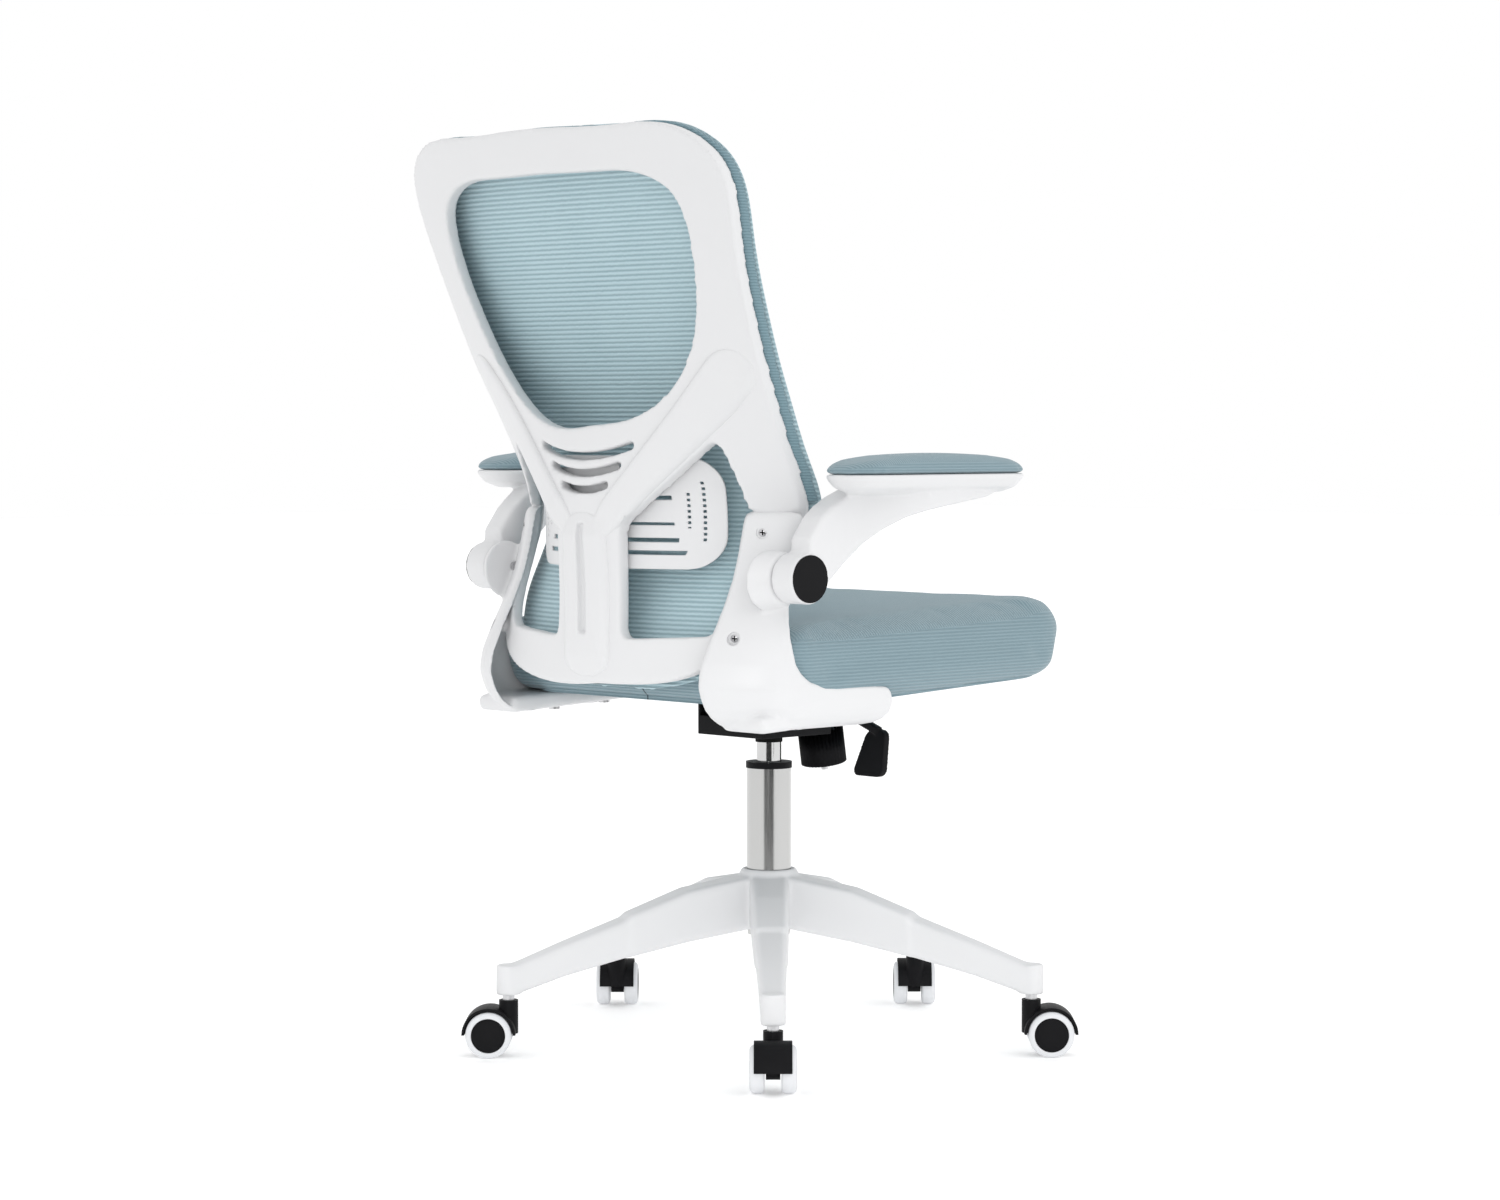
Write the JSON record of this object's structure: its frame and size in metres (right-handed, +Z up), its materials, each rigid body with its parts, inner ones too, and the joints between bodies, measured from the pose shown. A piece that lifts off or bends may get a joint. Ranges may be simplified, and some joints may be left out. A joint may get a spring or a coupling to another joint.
{
  "type": "office chair",
  "caption": "Task chair with a ribbed mesh back in a white Y-spine frame, fabric seat, flip-up padded arms, gas lift column and a caster base; seat lifts, swivels and tilts, lumbar pad slides.",
  "frame": {"origin": "on the floor, on the axis of the gas lift", "axes": "+Z up, the sitter faces -Y, the sitter's right hand is at -X"},
  "size_m": [0.6718, 0.6992, 1.004],
  "materials": {
    "white_moulding": "semi-matt white moulded polypropylene",
    "black_moulding": "matt black moulded nylon",
    "lift_steel": "polished chromed steel",
    "bright_steel": "zinc plated steel",
    "black_steel": "black powder coat",
    "seat_fabric": "ribbed blue-grey fabric over foam",
    "mesh_fabric": "ribbed blue-grey stretched mesh",
    "seat_board": "bare plywood",
    "wheel": "pale soft tread on a core with a black disc",
    "bumper_rubber": "black rubber"
  },
  "bodies": {
    "base": {"base_star": "white_moulding", "lift_outer_tube": "lift_steel", "lift_guide_bush": "black_moulding", "thrust_bearing": "bright_steel"},
    "lift_rod": {"lift_piston_rod": "bright_steel", "rod_clip": "bright_steel"},
    "column": {"lift_cylinder": "lift_steel", "lift_bumper": "bumper_rubber", "tilt_housing": "black_steel", "tension_spring": "black_steel"},
    "valve": {"release_pin": "bright_steel"},
    "lever": {"lever_rod": "black_steel", "lever_grip": "black_moulding"},
    "seat": {"seat_plate": "black_steel", "tilt_pivot_pin": "bright_steel", "tension_bolt": "bright_steel", "seat_board": "seat_board", "seat_cushion": "seat_fabric", "seat_bolts": "bright_steel", "bracket_seat_bolts": "bright_steel", "bracket_right": "white_moulding", "bracket_left": "white_moulding", "hinge_pin_right": "bright_steel", "hinge_pin_left": "bright_steel", "back_frame": "white_moulding", "bracket_back_screws": "bright_steel", "mesh_carrier": "mesh_fabric", "back_mesh": "mesh_fabric"},
    "knob": {"tension_knob": "black_moulding"},
    "lumbar": {"lumbar_support": "white_moulding"},
    "arm_right": {"arm_right": "white_moulding", "hinge_cap_right": "black_moulding", "arm_pad_right": "seat_fabric", "arm_pad_screws_right": "bright_steel"},
    "arm_left": {"arm_left": "white_moulding", "hinge_cap_left": "black_moulding", "arm_pad_left": "seat_fabric", "arm_pad_screws_left": "bright_steel"},
    "caster_1": {"caster_1_hood": "black_moulding", "caster_1_pins": "bright_steel"},
    "caster_1_wheel_a": {"caster_1_wheel_a": "wheel"},
    "caster_1_wheel_b": {"caster_1_wheel_b": "wheel"},
    "caster_2": {"caster_2_hood": "black_moulding", "caster_2_pins": "bright_steel"},
    "caster_2_wheel_a": {"caster_2_wheel_a": "wheel"},
    "caster_2_wheel_b": {"caster_2_wheel_b": "wheel"},
    "caster_3": {"caster_3_hood": "black_moulding", "caster_3_pins": "bright_steel"},
    "caster_3_wheel_a": {"caster_3_wheel_a": "wheel"},
    "caster_3_wheel_b": {"caster_3_wheel_b": "wheel"},
    "caster_4": {"caster_4_hood": "black_moulding", "caster_4_pins": "bright_steel"},
    "caster_4_wheel_a": {"caster_4_wheel_a": "wheel"},
    "caster_4_wheel_b": {"caster_4_wheel_b": "wheel"},
    "caster_5": {"caster_5_hood": "black_moulding", "caster_5_pins": "bright_steel"},
    "caster_5_wheel_a": {"caster_5_wheel_a": "wheel"},
    "caster_5_wheel_b": {"caster_5_wheel_b": "wheel"}
  },
  "joints": [
    {"name": "seat_swivel", "type": "hinge", "parent": "base", "child": "lift_rod", "pos_m": [0, 0, 0.2], "axis": [0, 0, 1], "continuous": true},
    {"name": "seat_height", "type": "slide", "parent": "lift_rod", "child": "column", "axis": [0, 0, 1], "range_m": [0, 0.1]},
    {"name": "seat_tilt", "type": "hinge", "parent": "column", "child": "seat", "pos_m": [0, 0.028, 0.372], "axis": [-1, 0, 0], "range_deg": [0, 12], "stiffness_Nm_per_rad": 80, "springref_deg": -28.65, "deforming": ["tension_spring"]},
    {"name": "lever_lift", "type": "hinge", "parent": "column", "child": "lever", "pos_m": [-0.0505, 0, 0.38], "axis": [0, 1, 0], "range_deg": [0, 5], "stiffness_Nm_per_rad": 2, "springref_deg": -5.73},
    {"name": "valve_press", "type": "slide", "parent": "column", "child": "valve", "axis": [0, 0, -1], "range_m": [0, 0.005]},
    {"name": "tension_turn", "type": "hinge", "parent": "seat", "child": "knob", "pos_m": [0, -0.084, 0.329], "axis": [0, 0.1564, 0.9877], "range_deg": [-720, 720]},
    {"name": "lumbar_slide", "type": "slide", "parent": "seat", "child": "lumbar", "axis": [0, 0.0555, 0.9985], "range_m": [-0.02, 0.02]},
    {"name": "arm_flip_right", "type": "hinge", "parent": "seat", "child": "arm_right", "pos_m": [-0.2477, 0.1953, 0.5337], "axis": [-1, 0, 0], "range_deg": [0, 90]},
    {"name": "arm_flip_left", "type": "hinge", "parent": "seat", "child": "arm_left", "pos_m": [0.2477, 0.1953, 0.5337], "axis": [-1, 0, 0], "range_deg": [0, 90]},
    {"name": "caster_1_swivel", "type": "hinge", "parent": "base", "child": "caster_1", "pos_m": [-0.22015, 0.20673, 0.068], "axis": [0, 0, 1], "continuous": true},
    {"name": "caster_1_roll_a", "type": "hinge", "parent": "caster_1", "child": "caster_1_wheel_a", "pos_m": [-0.23523, 0.22135, 0.02525], "axis": [-0.6959, -0.7181, 0], "continuous": true},
    {"name": "caster_1_roll_b", "type": "hinge", "parent": "caster_1", "child": "caster_1_wheel_b", "pos_m": [-0.23523, 0.22135, 0.02525], "axis": [-0.6959, -0.7181, 0], "continuous": true},
    {"name": "caster_2_swivel", "type": "hinge", "parent": "base", "child": "caster_2", "pos_m": [-0.26465, -0.14549, 0.068], "axis": [0, 0, 1], "continuous": true},
    {"name": "caster_2_roll_a", "type": "hinge", "parent": "caster_2", "child": "caster_2_wheel_a", "pos_m": [-0.27926, -0.16057, 0.02525], "axis": [0.7181, -0.6959, 0], "continuous": true},
    {"name": "caster_2_roll_b", "type": "hinge", "parent": "caster_2", "child": "caster_2_wheel_b", "pos_m": [-0.27926, -0.16057, 0.02525], "axis": [0.7181, -0.6959, 0], "continuous": true},
    {"name": "caster_3_swivel", "type": "hinge", "parent": "base", "child": "caster_3", "pos_m": [0.05659, -0.29665, 0.068], "axis": [0, 0, 1], "continuous": true},
    {"name": "caster_3_roll_a", "type": "hinge", "parent": "caster_3", "child": "caster_3_wheel_a", "pos_m": [0.07167, -0.31127, 0.02525], "axis": [0.6959, 0.7181, 0], "continuous": true},
    {"name": "caster_3_roll_b", "type": "hinge", "parent": "caster_3", "child": "caster_3_wheel_b", "pos_m": [0.07167, -0.31127, 0.02525], "axis": [0.6959, 0.7181, 0], "continuous": true},
    {"name": "caster_4_swivel", "type": "hinge", "parent": "base", "child": "caster_4", "pos_m": [0.29962, -0.03785, 0.068], "axis": [0, 0, 1], "continuous": true},
    {"name": "caster_4_roll_a", "type": "hinge", "parent": "caster_4", "child": "caster_4_wheel_a", "pos_m": [0.3147, -0.05246, 0.02525], "axis": [0.6959, 0.7181, 0], "continuous": true},
    {"name": "caster_4_roll_b", "type": "hinge", "parent": "caster_4", "child": "caster_4_wheel_b", "pos_m": [0.3147, -0.05246, 0.02525], "axis": [0.6959, 0.7181, 0], "continuous": true},
    {"name": "caster_5_swivel", "type": "hinge", "parent": "base", "child": "caster_5", "pos_m": [0.12859, 0.27326, 0.068], "axis": [0, 0, 1], "continuous": true},
    {"name": "caster_5_roll_a", "type": "hinge", "parent": "caster_5", "child": "caster_5_wheel_a", "pos_m": [0.1432, 0.28834, 0.02525], "axis": [-0.7181, 0.6959, 0], "continuous": true},
    {"name": "caster_5_roll_b", "type": "hinge", "parent": "caster_5", "child": "caster_5_wheel_b", "pos_m": [0.1432, 0.28834, 0.02525], "axis": [-0.7181, 0.6959, 0], "continuous": true}
  ],
  "couplings": [
    {"joint": "valve_press", "follows": "lever_lift", "m_per_rad": 0.0505}
  ]
}
